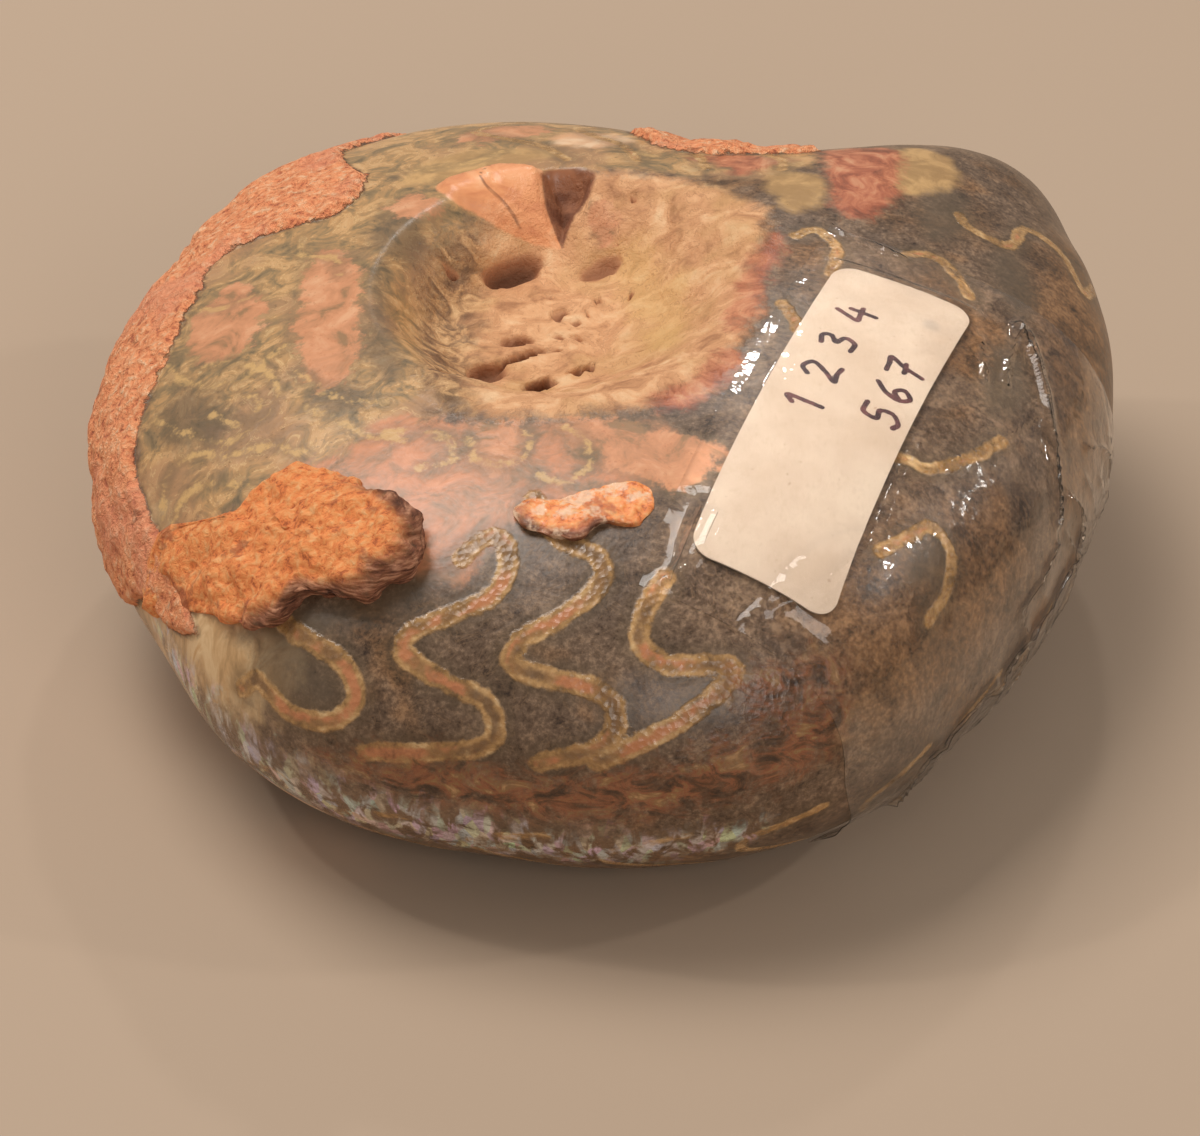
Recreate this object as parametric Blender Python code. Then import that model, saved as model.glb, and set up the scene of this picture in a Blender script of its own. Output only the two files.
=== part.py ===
"""A polished ammonite in red rock, with a paper label under a strip of clear tape.

The shell lies on one flank, its coil axis nearly upright. Metres, +Z up. The origin is on the
surface that it rests on, under the middle of the part. Azimuth runs counter-clockwise from +X round
the coil, and latitude runs from the rim, 0, to the middle of the upper flank, 90 degrees.
"""

import math

import bmesh
import bpy
import numpy as np

MM = 0.001

# The coil's outline: the rim's radius every 15 degrees. It grows from the step at 75 degrees,
# where the last whorl starts, all the way round to the broken mouth at 45 degrees.
RIM_RADII = MM * np.array(
    (41, 43.5, 46.5, 49, 38.5, 35.5, 40, 44, 45.5, 45.5, 43, 42.5)
    + (42, 41.5, 41.5, 43.5, 44.5, 43.5, 44, 44, 43, 40.5, 39.5, 39.5)
)
MIDDLE_RADIUS = 43 * MM
HALF_THICKNESS = 17.1 * MM
THICKER_RIGHT = 0.05
THICKER_FRONT = 0.2
SHOULDER_POWER = 0.85
FLANK_POWER = 0.9

# The mouth of the last whorl is blunt: there the section is fuller than elsewhere.
MOUTH_AZIMUTH = math.radians(46)
MOUTH_SPREAD = math.radians(14)
MOUTH_SHOULDER_DROP = 0.12
MOUTH_FLANK_DROP = 0.1

# How the coil lies: its front dips, its right side lifts a little.
PITCH = math.radians(4)
ROLL = math.radians(-1.1)
CENTRE = (-0.2 * MM, 0.8 * MM, 17 * MM)

# The umbilicus, a hollow that the rock fills only in part. It is deepest off its middle.
HOLLOW_MIDDLE = (-3 * MM, 3 * MM)
HOLLOW_RADII = (16.5 * MM, 19 * MM)
HOLLOW_DEPTH = 6.5 * MM
DEEPEST_POINT = (-0.3, 0.1)
FLOOR_SHARE = 0.4

# The lump of red rock that is left on the upper flank.
LUMP_MIDDLE = (-23.5 * MM, -26 * MM)
LUMP_RADII = (13.5 * MM, 7 * MM)
LUMP_TURN = math.radians(-25)
LUMP_HEIGHT = 2.6 * MM

# The tape crosses the upper flank, goes over the rim and ends under the lower flank.
TAPE_HEADING = math.radians(-20)
TAPE_START = 14 * MM
TAPE_SIDES = (-31 * MM, 15.5 * MM)
TAPE_END_LATITUDE = math.radians(-34)
TAPE_PINCH = 0.2
TAPE_LIFT = 0.85 * MM
TAPE_THICKNESS = 0.2 * MM

LABEL_START = 16.5 * MM
LABEL_WIDTH = 11.5 * MM
LABEL_SIDES = (-27 * MM, 10 * MM)
LABEL_CORNER = 0.16
LABEL_LIFT = 0.3 * MM
LABEL_THICKNESS = 0.2 * MM


def rim_radius(azimuth):
    """A smooth closed curve through the rim's radii."""
    place = azimuth / (2 * math.pi) * len(RIM_RADII)
    first = np.floor(place).astype(int)
    step = place - first
    before, start, end, after = (RIM_RADII[(first + shift) % len(RIM_RADII)] for shift in (-1, 0, 1, 2))
    bend = 2 * before - 5 * start + 4 * end - after + step * (3 * (start - end) + after - before)
    return start + 0.5 * step * (end - before + step * bend)


def mouth_share(azimuth):
    away = (azimuth - MOUTH_AZIMUTH + math.pi) % (2 * math.pi) - math.pi
    return np.exp(-((away / MOUTH_SPREAD) ** 2))


def coil_radius(azimuth, latitude):
    """The outline shows at the rim, and fades to a circle towards the middle of a flank."""
    outline = rim_radius(azimuth) - MIDDLE_RADIUS
    power = SHOULDER_POWER - MOUTH_SHOULDER_DROP * mouth_share(azimuth)
    return (MIDDLE_RADIUS + outline * np.cos(latitude) ** 2) * np.cos(latitude) ** power


def coil_points(azimuth, latitude, lift=0.0):
    """Points on the plain coil, or lift above it, about the coil's centre."""
    rim = rim_radius(azimuth)
    radius = coil_radius(azimuth, latitude)
    x = radius * np.cos(azimuth)
    y = radius * np.sin(azimuth)
    half = HALF_THICKNESS * (1 + (THICKER_RIGHT * x - THICKER_FRONT * y) / MIDDLE_RADIUS)
    power = FLANK_POWER - MOUTH_FLANK_DROP * mouth_share(azimuth)
    z = half * np.sign(latitude) * np.abs(np.sin(latitude)) ** power
    normal = np.stack([x / rim**2, y / rim**2, z / half**2], axis=-1)
    normal /= np.linalg.norm(normal, axis=-1, keepdims=True)
    return np.stack([x, y, z], axis=-1) + normal * np.asarray(lift)[..., None]


def smooth_step(low, high, value):
    share = np.clip((value - low) / (high - low), 0, 1)
    return share * share * (3 - 2 * share)


def hollow_depth(x, y):
    """How far the umbilicus goes down at a place on the upper flank."""
    u = (x - HOLLOW_MIDDLE[0]) / HOLLOW_RADII[0] - DEEPEST_POINT[0]
    v = (y - HOLLOW_MIDDLE[1]) / HOLLOW_RADII[1] - DEEPEST_POINT[1]
    along = u * DEEPEST_POINT[0] + v * DEEPEST_POINT[1]
    spread = 1 - DEEPEST_POINT[0] ** 2 - DEEPEST_POINT[1] ** 2
    share_to_rim = (along + np.sqrt(along**2 + spread * (u * u + v * v))) / spread
    return HOLLOW_DEPTH * (1 - smooth_step(FLOOR_SHARE, 1, share_to_rim))


def lump_height(x, y):
    dx = x - LUMP_MIDDLE[0]
    dy = y - LUMP_MIDDLE[1]
    along = (dx * math.cos(LUMP_TURN) + dy * math.sin(LUMP_TURN)) / LUMP_RADII[0]
    across = (dy * math.cos(LUMP_TURN) - dx * math.sin(LUMP_TURN)) / LUMP_RADII[1]
    return LUMP_HEIGHT * (1 - smooth_step(0.6, 1, np.hypot(along, across)))


def lay_down(points):
    """Turns the coil as it lies, moves it to its place and flattens what would go under the floor."""
    x, y, z = np.moveaxis(points, -1, 0)
    y, z = y * math.cos(PITCH) - z * math.sin(PITCH), y * math.sin(PITCH) + z * math.cos(PITCH)
    x, z = x * math.cos(ROLL) + z * math.sin(ROLL), z * math.cos(ROLL) - x * math.sin(ROLL)
    return np.stack([x + CENTRE[0], y + CENTRE[1], np.maximum(z + CENTRE[2], 0)], axis=-1)


def strip_azimuth(across, latitude):
    """The azimuth where a line at a distance across from the tape's middle line reaches a latitude."""
    azimuth = np.full(np.shape(latitude), TAPE_HEADING)
    for _ in range(12):
        share = across / coil_radius(azimuth, latitude)
        azimuth = TAPE_HEADING + np.arcsin(np.clip(share, -1, 1))
    return azimuth


def strip_latitude(across, along):
    """The latitude on the upper flank that is a distance along the tape's heading."""
    latitudes = np.radians(np.linspace(75, 2, 300))
    azimuths = strip_azimuth(across, latitudes)
    reach = coil_radius(azimuths, latitudes) * np.cos(azimuths - TAPE_HEADING)
    reach[coil_radius(azimuths, latitudes) < abs(across)] = 0
    return np.interp(along, reach, latitudes)


def add_object(name, bm, material):
    mesh = bpy.data.meshes.new(name)
    bm.to_mesh(mesh)
    bm.free()
    mesh.materials.append(material)
    mesh.shade_smooth()
    obj = bpy.data.objects.new(name, mesh)
    bpy.context.scene.collection.objects.link(obj)
    return obj


def place(bm, points):
    for vertex, point in zip(bm.verts, points):
        vertex.co = point


def material(name, color, roughness, alpha=1.0):
    made = bpy.data.materials.new(name)
    made.use_nodes = True
    shader = made.node_tree.nodes["Principled BSDF"]
    shader.inputs["Base Color"].default_value = (*color, 1)
    shader.inputs["Roughness"].default_value = roughness
    shader.inputs["Metallic"].default_value = 0
    shader.inputs["Alpha"].default_value = alpha
    return made


def make_fossil():
    """The whole stone is one piece: shell, chamber fill, rock in the umbilicus and the lump."""
    bm = bmesh.new()
    bmesh.ops.create_uvsphere(bm, u_segments=64, v_segments=36, radius=1)
    unit = np.array([vertex.co for vertex in bm.verts])
    azimuth = np.arctan2(unit[:, 1], unit[:, 0])
    latitude = np.arcsin(np.clip(unit[:, 2], -1, 1))
    x, y, _ = coil_points(azimuth, latitude).T
    upper = latitude > 0
    points = coil_points(azimuth, latitude, np.where(upper, lump_height(x, y), 0))
    points[:, 2] -= np.where(upper, hollow_depth(x, y), 0)
    place(bm, lay_down(points))
    return add_object("fossil", bm, material("polished stone", (0.24, 0.18, 0.13), 0.25))


def strip_patch(name, rows, columns, edges, lift, thickness, look, round_corners=0.0):
    """A thin sheet laid on the coil. edges(across) gives the latitudes of its two ends."""
    bm = bmesh.new()
    bmesh.ops.create_grid(bm, x_segments=rows, y_segments=columns, size=1)
    u, v, _ = np.array([vertex.co for vertex in bm.verts]).T
    if round_corners:
        u, v = rounded(u, v, round_corners)
    across, latitude = edges(u, v)
    place(bm, lay_down(coil_points(strip_azimuth(across, latitude), latitude, np.full(u.shape, lift))))
    bmesh.ops.recalc_face_normals(bm, faces=bm.faces[:])
    sheet = add_object(name, bm, look)
    solidify = sheet.modifiers.new("thickness", "SOLIDIFY")
    solidify.thickness = thickness
    solidify.offset = 1
    return sheet


def rounded(u, v, share):
    """Pulls the four corners of the square from -1 to 1 in, to quarter circles on the real sheet."""
    length_share = share * LABEL_WIDTH / (LABEL_SIDES[1] - LABEL_SIDES[0])
    a = np.clip((np.abs(u) - 1 + 2 * share) / (2 * share), 0, 1)
    b = np.clip((np.abs(v) - 1 + 2 * length_share) / (2 * length_share), 0, 1)
    u = u - np.sign(u) * 2 * share * a * (1 - np.sqrt(1 - b * b / 2))
    v = v - np.sign(v) * 2 * length_share * b * (1 - np.sqrt(1 - a * a / 2))
    return u, v


def label_edges(u, v):
    across = LABEL_SIDES[0] + (LABEL_SIDES[1] - LABEL_SIDES[0]) * (v + 1) / 2
    along = LABEL_START + LABEL_WIDTH * (u + 1) / 2
    latitude = np.array([strip_latitude(a, b) for a, b in zip(across, along)])
    return across, latitude


def tape_edges(u, v):
    across = TAPE_SIDES[0] + (TAPE_SIDES[1] - TAPE_SIDES[0]) * (v + 1) / 2
    start = np.array([strip_latitude(a, TAPE_START) for a in across])
    latitude = start + (TAPE_END_LATITUDE - start) * (u + 1) / 2
    middle = sum(TAPE_SIDES) / 2
    pinch = TAPE_PINCH * smooth_step(0, 1, latitude / TAPE_END_LATITUDE)
    return across + (middle - across) * pinch, latitude


def make_label():
    paper = material("label paper", (0.86, 0.76, 0.66), 0.6)
    return strip_patch(
        "paper_label", 6, 16, label_edges, LABEL_LIFT, LABEL_THICKNESS, paper, LABEL_CORNER
    )


def make_tape():
    film = material("clear film", (0.95, 0.93, 0.9), 0.1, 0.25)
    return strip_patch("clear_tape", 24, 14, tape_edges, TAPE_LIFT, TAPE_THICKNESS, film)


for old in list(bpy.data.objects):
    bpy.data.objects.remove(old)
make_fossil()
make_label()
make_tape()
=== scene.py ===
# %% [markdown]
# # A polished ammonite with a paper label under clear tape
#
# The real object is one stone: a coiled shell whose chambers filled with calcite and mud, ground
# smooth and polished, with rough red rock left on its rim and in the hollow at its middle. A paper
# label lies on its right side, under a strip of clear tape that runs over the rim. The solid model
# gives the exact size and place of the three. This lesson makes their looks.

import math

import bpy
import numpy as np
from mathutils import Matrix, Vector, kdtree


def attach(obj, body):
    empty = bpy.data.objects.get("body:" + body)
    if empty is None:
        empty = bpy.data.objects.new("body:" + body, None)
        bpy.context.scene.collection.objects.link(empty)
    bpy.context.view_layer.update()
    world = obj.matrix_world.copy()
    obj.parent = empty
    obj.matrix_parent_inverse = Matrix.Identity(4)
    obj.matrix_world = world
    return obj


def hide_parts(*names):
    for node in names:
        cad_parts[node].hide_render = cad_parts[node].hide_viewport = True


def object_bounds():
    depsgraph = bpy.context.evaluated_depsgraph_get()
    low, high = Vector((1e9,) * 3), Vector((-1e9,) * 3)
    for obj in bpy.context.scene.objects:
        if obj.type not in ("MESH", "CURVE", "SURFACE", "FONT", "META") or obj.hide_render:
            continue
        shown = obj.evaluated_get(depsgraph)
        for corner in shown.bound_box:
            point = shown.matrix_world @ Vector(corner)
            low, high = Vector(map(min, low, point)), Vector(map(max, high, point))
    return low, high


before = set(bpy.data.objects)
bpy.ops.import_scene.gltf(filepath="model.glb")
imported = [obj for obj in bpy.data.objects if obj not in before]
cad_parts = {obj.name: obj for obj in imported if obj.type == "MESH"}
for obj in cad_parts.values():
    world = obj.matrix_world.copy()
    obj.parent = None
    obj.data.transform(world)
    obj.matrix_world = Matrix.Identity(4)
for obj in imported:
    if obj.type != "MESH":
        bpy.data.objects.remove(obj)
cad_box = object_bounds()
bpy.ops.object.select_all(action="DESELECT")
MM = 0.001
size_mm = [round((high - low) / MM, 1) for low, high in zip(*cad_box)]
print("solid parts:", sorted(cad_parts), "box in mm:", size_mm)

# %% [markdown]
# ## Camera
#
# The object is looked at from the front and 35 degrees above, from half a metre away with a long
# lens, so that its shape shows with little perspective.

# %% Camera
VIEW_ELEVATION = math.radians(35)
CAMERA_PLACE = Vector((-0.84, -436.9, 312.3)) * MM
LENS = 192.7

bpy.ops.object.camera_add(location=CAMERA_PLACE, rotation=(math.pi / 2 - VIEW_ELEVATION, 0, 0))
camera = bpy.context.object
camera.data.lens = LENS
camera.data.sensor_width = 36
camera.data.clip_start = 0.01
bpy.context.scene.camera = camera
print("camera", round(CAMERA_PLACE.length, 3), "m from the origin")

# %% [markdown]
# ## Floor and light
#
# A plain pale table, one big softbox above and a little behind, a weaker one in front, and three
# small bright lamps. The small lamps give the pin-point glints on calcite and on creased film,
# which a softbox alone would smear out. The tape casts no shadow, so what lies under it already
# sees each lamp. Lamps and world are hidden from transmitted rays, or that light would count twice.
# The standard view transform keeps colours as they are mixed.

# %% Floor
def srgb(red, green, blue):
    """A colour given as 0 to 255 display values, as the linear light values that shaders use."""
    share = np.array((red, green, blue)) / 255
    linear = np.where(share <= 0.04045, share / 12.92, ((share + 0.055) / 1.055) ** 2.4)
    return (*(float(value) for value in linear), 1.0)


FLOOR_SIDE = 8.0
TABLE_COLOUR = srgb(186, 163, 141)

bpy.ops.mesh.primitive_plane_add(size=FLOOR_SIDE)
floor = bpy.context.object
floor.name = "table"
table_finish = bpy.data.materials.new("plain table")
table_finish.use_nodes = True
table_shader = table_finish.node_tree.nodes["Principled BSDF"]
table_shader.inputs["Base Color"].default_value = TABLE_COLOUR
table_shader.inputs["Roughness"].default_value = 0.7
table_shader.inputs["Specular IOR Level"].default_value = 0.2
floor.data.materials.append(table_finish)

# %% Light
WARM_WHITE = (1.0, 0.97, 0.93)


def add_lamp(name, place_mm, side_mm, power, colour=WARM_WHITE):
    """A square lamp that faces the object. Power is in watts."""
    place = Vector(place_mm) * MM
    aim = (Vector((0, 0, 15 * MM)) - place).to_track_quat("-Z", "Y").to_euler()
    bpy.ops.object.light_add(type="AREA", location=place, rotation=aim)
    lamp = bpy.context.object
    lamp.name = name
    lamp.data.size = side_mm * MM
    lamp.data.energy = power
    lamp.data.color = colour
    lamp.visible_transmission = False
    return lamp


add_lamp("big softbox", (-260, 200, 700), 420, 3.6)
add_lamp("front softbox", (250, -700, 420), 380, 1.6)
add_lamp("small lamp left", (-330, 60, 420), 26, 0.25)
add_lamp("small lamp right", (420, 10, 330), 26, 0.25)
add_lamp("small lamp back", (60, 420, 420), 30, 0.28)

world = bpy.data.worlds.new("studio")
world.use_nodes = True
world.node_tree.nodes["Background"].inputs["Color"].default_value = (1.0, 0.96, 0.92, 1)
world.node_tree.nodes["Background"].inputs["Strength"].default_value = 0.28
world.cycles_visibility.transmission = False
bpy.context.scene.world = world
bpy.context.scene.view_settings.view_transform = "Standard"

# %% [markdown]
# ## The form of the coil
#
# The polished shell is a lens. Its rim isn't round: each whorl ends further out than it began, and
# the mouth is a blunt corner at the back right. So the form is a formula and not a sculpt: a rim
# radius every 15 degrees, and a section that rounds from the rim over each flank. It is the formula
# of the solid model, so what is made here fits it exactly.
#
# A place on the stone is given as on a globe: azimuth runs counter-clockwise round the coil from the
# right, and latitude runs from the rim, 0, to the middle of the upper flank, 90 degrees.

# %% The coil's outline and section
RIM_RADII = MM * np.array(
    (41, 43.5, 46.5, 49, 38.5, 35.5, 40, 44, 45.5, 45.5, 43, 42.5)
    + (42, 41.5, 41.5, 43.5, 44.5, 43.5, 44, 44, 43, 40.5, 39.5, 39.5)
)
MIDDLE_RADIUS = 43 * MM
HALF_THICKNESS = 17.1 * MM
THICKER_RIGHT = 0.05
THICKER_FRONT = 0.2
SHOULDER_POWER = 0.85
FLANK_POWER = 0.9
MOUTH_AZIMUTH = math.radians(46)
MOUTH_SPREAD = math.radians(14)
MOUTH_SHOULDER_DROP = 0.12
MOUTH_FLANK_DROP = 0.1


def rim_radius(azimuth):
    """A smooth closed curve through the rim's radii."""
    place = azimuth / (2 * math.pi) * len(RIM_RADII)
    first = np.floor(place).astype(int)
    step = place - first
    before, start, end, after = (RIM_RADII[(first + shift) % len(RIM_RADII)] for shift in (-1, 0, 1, 2))
    bend = 2 * before - 5 * start + 4 * end - after + step * (3 * (start - end) + after - before)
    return start + 0.5 * step * (end - before + step * bend)


def mouth_share(azimuth):
    away = (azimuth - MOUTH_AZIMUTH + math.pi) % (2 * math.pi) - math.pi
    return np.exp(-((away / MOUTH_SPREAD) ** 2))


def coil_radius(azimuth, latitude):
    """The outline shows at the rim, and fades to a circle towards the middle of a flank."""
    outline = rim_radius(azimuth) - MIDDLE_RADIUS
    power = SHOULDER_POWER - MOUTH_SHOULDER_DROP * mouth_share(azimuth)
    return (MIDDLE_RADIUS + outline * np.cos(latitude) ** 2) * np.abs(np.cos(latitude)) ** power


def coil_points(azimuth, latitude, lift=0.0):
    """Points on the plain coil, or lift above it, about the coil's centre."""
    rim = rim_radius(azimuth)
    radius = coil_radius(azimuth, latitude)
    x = radius * np.cos(azimuth)
    y = radius * np.sin(azimuth)
    half = HALF_THICKNESS * (1 + (THICKER_RIGHT * x - THICKER_FRONT * y) / MIDDLE_RADIUS)
    power = FLANK_POWER - MOUTH_FLANK_DROP * mouth_share(azimuth)
    z = half * np.sign(latitude) * np.abs(np.sin(latitude)) ** power
    normal = np.stack([x / rim**2, y / rim**2, z / half**2], axis=-1)
    normal /= np.linalg.norm(normal, axis=-1, keepdims=True)
    return np.stack([x, y, z], axis=-1) + normal * np.asarray(lift)[..., None]


# %% How the coil lies
PITCH = math.radians(4)
ROLL = math.radians(-1.1)
CENTRE = (-0.2 * MM, 0.8 * MM, 17 * MM)


def lay_down(points):
    """Turns the coil as it lies, moves it to its place and flattens what would go under the floor."""
    x, y, z = np.moveaxis(points, -1, 0)
    y, z = y * math.cos(PITCH) - z * math.sin(PITCH), y * math.sin(PITCH) + z * math.cos(PITCH)
    x, z = x * math.cos(ROLL) + z * math.sin(ROLL), z * math.cos(ROLL) - x * math.sin(ROLL)
    return np.stack([x + CENTRE[0], y + CENTRE[1], np.maximum(z + CENTRE[2], 0)], axis=-1)


def smooth_step(low, high, value):
    share = np.clip((value - low) / (high - low), 0, 1)
    return share * share * (3 - 2 * share)


def latitude_at(azimuth, radius):
    """The latitude on the upper flank at a distance from the coil's axis, found by halving."""
    low = np.zeros(np.shape(azimuth))
    high = np.full(np.shape(azimuth), math.pi / 2)
    for _ in range(30):
        middle = (low + high) / 2
        outside = coil_radius(azimuth, middle) > radius
        low = np.where(outside, middle, low)
        high = np.where(outside, high, middle)
    return low


# %% [markdown]
# ## Marks on the stone
#
# Sutures, patches of rock fill and the edge of the red crust are all lines and outlines on the
# surface. Each is drawn with a few given places and a smooth curve through them. The stone's
# mesh then keeps, for every vertex, how far it is from each kind of mark: positive outside, negative
# inside, in millimetres. A distance stays smooth between vertices, so a material can cut a much
# sharper edge from it than the mesh has, and can add a halo or a rim beside the edge.

# %% Smooth lines through places on the coil
STEPS = 30


def to_map(places):
    """(azimuth, latitude) in degrees, as a flat map seen from above the upper flank."""
    azimuth, latitude = np.radians(np.array(places, float)).T
    return (math.pi / 2 - latitude)[:, None] * np.stack([np.cos(azimuth), np.sin(azimuth)], axis=-1)


def from_map(flat):
    azimuth = np.arctan2(flat[:, 1], flat[:, 0])
    return azimuth, math.pi / 2 - np.hypot(flat[:, 0], flat[:, 1])


def plan(*points_mm):
    """Places on the upper flank given in millimetres from the coil's axis, as (azimuth, latitude)."""
    x, y = np.array(points_mm, float).T * MM
    azimuth = np.arctan2(y, x)
    latitude = latitude_at(azimuth, np.hypot(x, y))
    return list(zip(np.degrees(azimuth), np.degrees(latitude)))


def curve_through(knots, closed):
    """A Catmull-Rom curve through points, as many short steps."""
    if closed:
        knots = np.concatenate([knots[-1:], knots, knots[:2]])
    else:
        knots = np.concatenate([2 * knots[:1] - knots[1:2], knots, 2 * knots[-1:] - knots[-2:-1]])
    before, start, end, after = knots[:-3, None], knots[1:-2, None], knots[2:-1, None], knots[3:, None]
    step = np.linspace(0, 1, STEPS, endpoint=False)[None, :, None]
    bend = 2 * before - 5 * start + 4 * end - after + step * (3 * (start - end) + after - before)
    curve = (start + 0.5 * step * (end - before + step * bend)).reshape(-1, knots.shape[1])
    return curve if closed else np.concatenate([curve, knots[-2:-1]])


def inside(flat, outline):
    """Which points of a flat map lie in a closed outline, by counting the edges to one side."""
    found = np.zeros(len(flat), bool)
    near = np.all((flat > outline.min(0)) & (flat < outline.max(0)), axis=1)
    x, y = flat[near].T
    crossed = np.zeros(len(x), bool)
    for (x1, y1), (x2, y2) in zip(outline, np.roll(outline, -1, axis=0)):
        if y1 != y2:
            beside = (y1 > y) != (y2 > y)
            crossed ^= beside & (x < x1 + (y - y1) * (x2 - x1) / (y2 - y1))
    found[near] = crossed
    return found


def mark_distance(azimuth, latitude, lines=(), patches=()):
    """How far each place is from the nearest mark, in millimetres, negative inside it.
    A line is (half its width in mm, its places), and a patch is the places round its edge."""
    home = coil_points(azimuth, latitude) / MM
    flat = (math.pi / 2 - latitude)[:, None] * np.stack([np.cos(azimuth), np.sin(azimuth)], axis=-1)
    samples, widths = [], []
    covered = np.zeros(len(home), bool)
    for half_width, places in lines:
        samples.append(curve_through(to_map(places), False))
        widths += [half_width] * len(samples[-1])
    for places in patches:
        samples.append(curve_through(to_map(places), True))
        widths += [0.0] * len(samples[-1])
        covered |= inside(flat, samples[-1])
    dense = coil_points(*from_map(np.concatenate(samples))) / MM
    tree = kdtree.KDTree(len(dense))
    for index, point in enumerate(dense):
        tree.insert(point, index)
    tree.balance()
    found = [tree.find(point) for point in home]
    distance = np.array([gap - widths[index] for _, index, gap in found])
    return np.where(covered, -np.abs(distance), distance)


# %% [markdown]
# ## Sutures
#
# Where a chamber wall meets the shell it leaves a wavy suture line. Four show clearly on the front.
# Further round the coil the same wave repeats about every 15 degrees, and again on the lower flank,
# a little turned. Thin pale lines curl round the chambers on the left.

# %% Suture lines
CLEAR_SUTURES = (
    ((250, 45), (253, 49), (256, 47), (256, 40), (251, 35), (247, 31), (247, 27), (252, 23), (257, 20))
    + ((258, 13), (254, 9), (245, 6)),
    ((258, 56), (263, 50), (269, 47), (269, 42), (264, 36), (260, 32), (260, 27), (269, 24), (271, 19))
    + ((269, 13), (263, 9)),
    ((278, 43), (275, 38), (274, 32), (277, 28), (284, 26), (281, 21), (275, 15), (269, 10)),
    ((228, 27), (233, 25), (240, 23), (243, 17), (241, 11), (236, 9), (231, 12), (229, 8)),
)
RIGHT_SUTURES = (
    ((29, 70), (29, 67), (20, 66), (9, 68)),
    ((17, 57), (17, 54), (15, 52), (10, 50), (6, 49)),
    ((352, 74), (345, 72), (340, 71)),
    ((318, 49), (321, 46), (323, 42), (330, 38), (337, 35)),
    ((307, 36), (312, 35), (316, 34), (317, 30), (316, 25), (313, 21), (309, 19)),
    ((29, 45), (25, 44), (22, 38), (27, 32), (24, 24), (18, 20), (22, 12)),
)
WAVE = ((60, -2), (53, 2), (47, 7), (41, 9), (36, 4), (31, 0), (27, 0), (23, 6), (19, 11), (13, 11), (8, 3))
WAVE_STEP = 14.5
BACK_WAVES = [56 + WAVE_STEP * turn for turn in range(4)]
LOWER_WAVES = [20 + WAVE_STEP * turn for turn in range(24)]


def wave_places(base, side=1):
    """One suture: its wave at this azimuth, on the upper flank or, with side -1, on the lower one."""
    return [(base + side * shift, side * latitude) for latitude, shift in WAVE]


suture_lines = [(0.78, places) for places in CLEAR_SUTURES]
suture_lines += [(0.5, places) for places in RIGHT_SUTURES]
suture_lines += [(0.4, wave_places(base)) for base in BACK_WAVES]
suture_lines += [(0.42, wave_places(base, -1)) for base in LOWER_WAVES]

CHAMBER_LINES = (
    ((190, 31), (196, 36), (201, 39), (204, 45), (201, 52), (194, 53), (187, 49), (184, 43)),
    ((196, 42), (200, 44), (202, 47), (199, 50), (195, 48)),
    ((205, 22), (201, 28), (201, 35), (206, 41), (210, 47), (216, 50)),
    ((208, 22), (206, 28), (207, 34), (213, 40)),
    ((186, 39), (190, 44), (191, 50), (187, 56)),
    ((176, 35), (183, 37), (189, 42)),
    ((196, 57), (203, 58), (210, 60), (217, 63)),
    ((150, 51), (156, 54), (158, 60), (164, 62)),
    ((168, 38), (170, 45), (168, 50)),
    ((207, 55), (214, 57), (222, 58), (229, 60)),
    ((240, 64), (245, 61), (251, 61), (254, 64), (251, 67)),
    ((258, 60), (263, 59), (267, 62), (266, 66), (261, 68)),
    ((224, 60), (229, 62), (236, 63), (240, 60), (236, 57)),
    ((88, 55), (80, 57), (74, 54), (70, 49)),
    ((108, 54), (115, 56), (122, 54), (127, 50)),
)
chamber_lines = [(0.2, places) for places in CHAMBER_LINES]
print("suture lines:", len(suture_lines), "chamber lines:", len(chamber_lines))

# %% [markdown]
# ## Patches of fill
#
# Each kind of rock and calcite has its own list of outlines, named for how it looks: the rough red
# crust, the hollow at the middle, smooth orange and pink mud, olive and cream calcite, the band of
# mother-of-pearl low on the front, and so on.

# %% Outlines of the patches
CRUST = (
    ((122, 26), (127, 38), (131, 50), (142, 53), (148, 46), (155, 36), (163, 38), (172, 37), (183, 32))
    + ((189, 26), (195, 22), (203, 20), (211, 17), (220, 12), (215, 5), (207, 2), (200, -8))
    + ((185, -15), (165, -14), (145, -12), (125, -6), (112, 2), (112, 14)),
    ((56, 44), (62, 48), (70, 51), (78, 52), (84, 46), (86, 38), (80, 32), (66, 34)),
)
HOLLOW = plan(
    (-14.5, 10), (-15, 3), (-14.8, -5), (-14.2, -11), (-12, -14.8), (-8, -16.6), (-2, -16.8), (4, -15.6),
    (9, -11.5), (11.6, -5), (12.4, 2), (13.2, 8), (12.2, 14), (8, 18), (3, 20), (-2, 20.6),
    (-6, 19.4), (-9, 16.8), (-12, 14.6),
)
ORANGE = (
    ((154, 56), (158, 62), (164, 65), (176, 66), (188, 66), (199, 64), (205, 61))
    + ((201, 57), (190, 58), (176, 58)),
    ((168, 42), (163, 46), (167, 50), (175, 53), (184, 50), (184, 44), (178, 40), (171, 39)),
    plan((-3.5, -18.6), (0, -17.9), (4, -19), (8.2, -20), (9, -22.6), (6.6, -25), (2.8, -24.2), (0, -22.6)),
    plan((-9.8, -17.6), (-7.4, -17.2), (-6, -18.6), (-6.4, -22), (-8.6, -23), (-10.4, -21)),
    plan((-1.2, 17.8), (0.6, 17.2), (1.2, 15), (-0.2, 14), (-1.4, 15.8)),
    plan((-15.6, 18.6), (-13.8, 15.6), (-16.4, 14.4), (-17.8, 16.4)),
    ((99, 45), (106, 49), (113, 46), (109, 40), (101, 39)),
)
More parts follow.
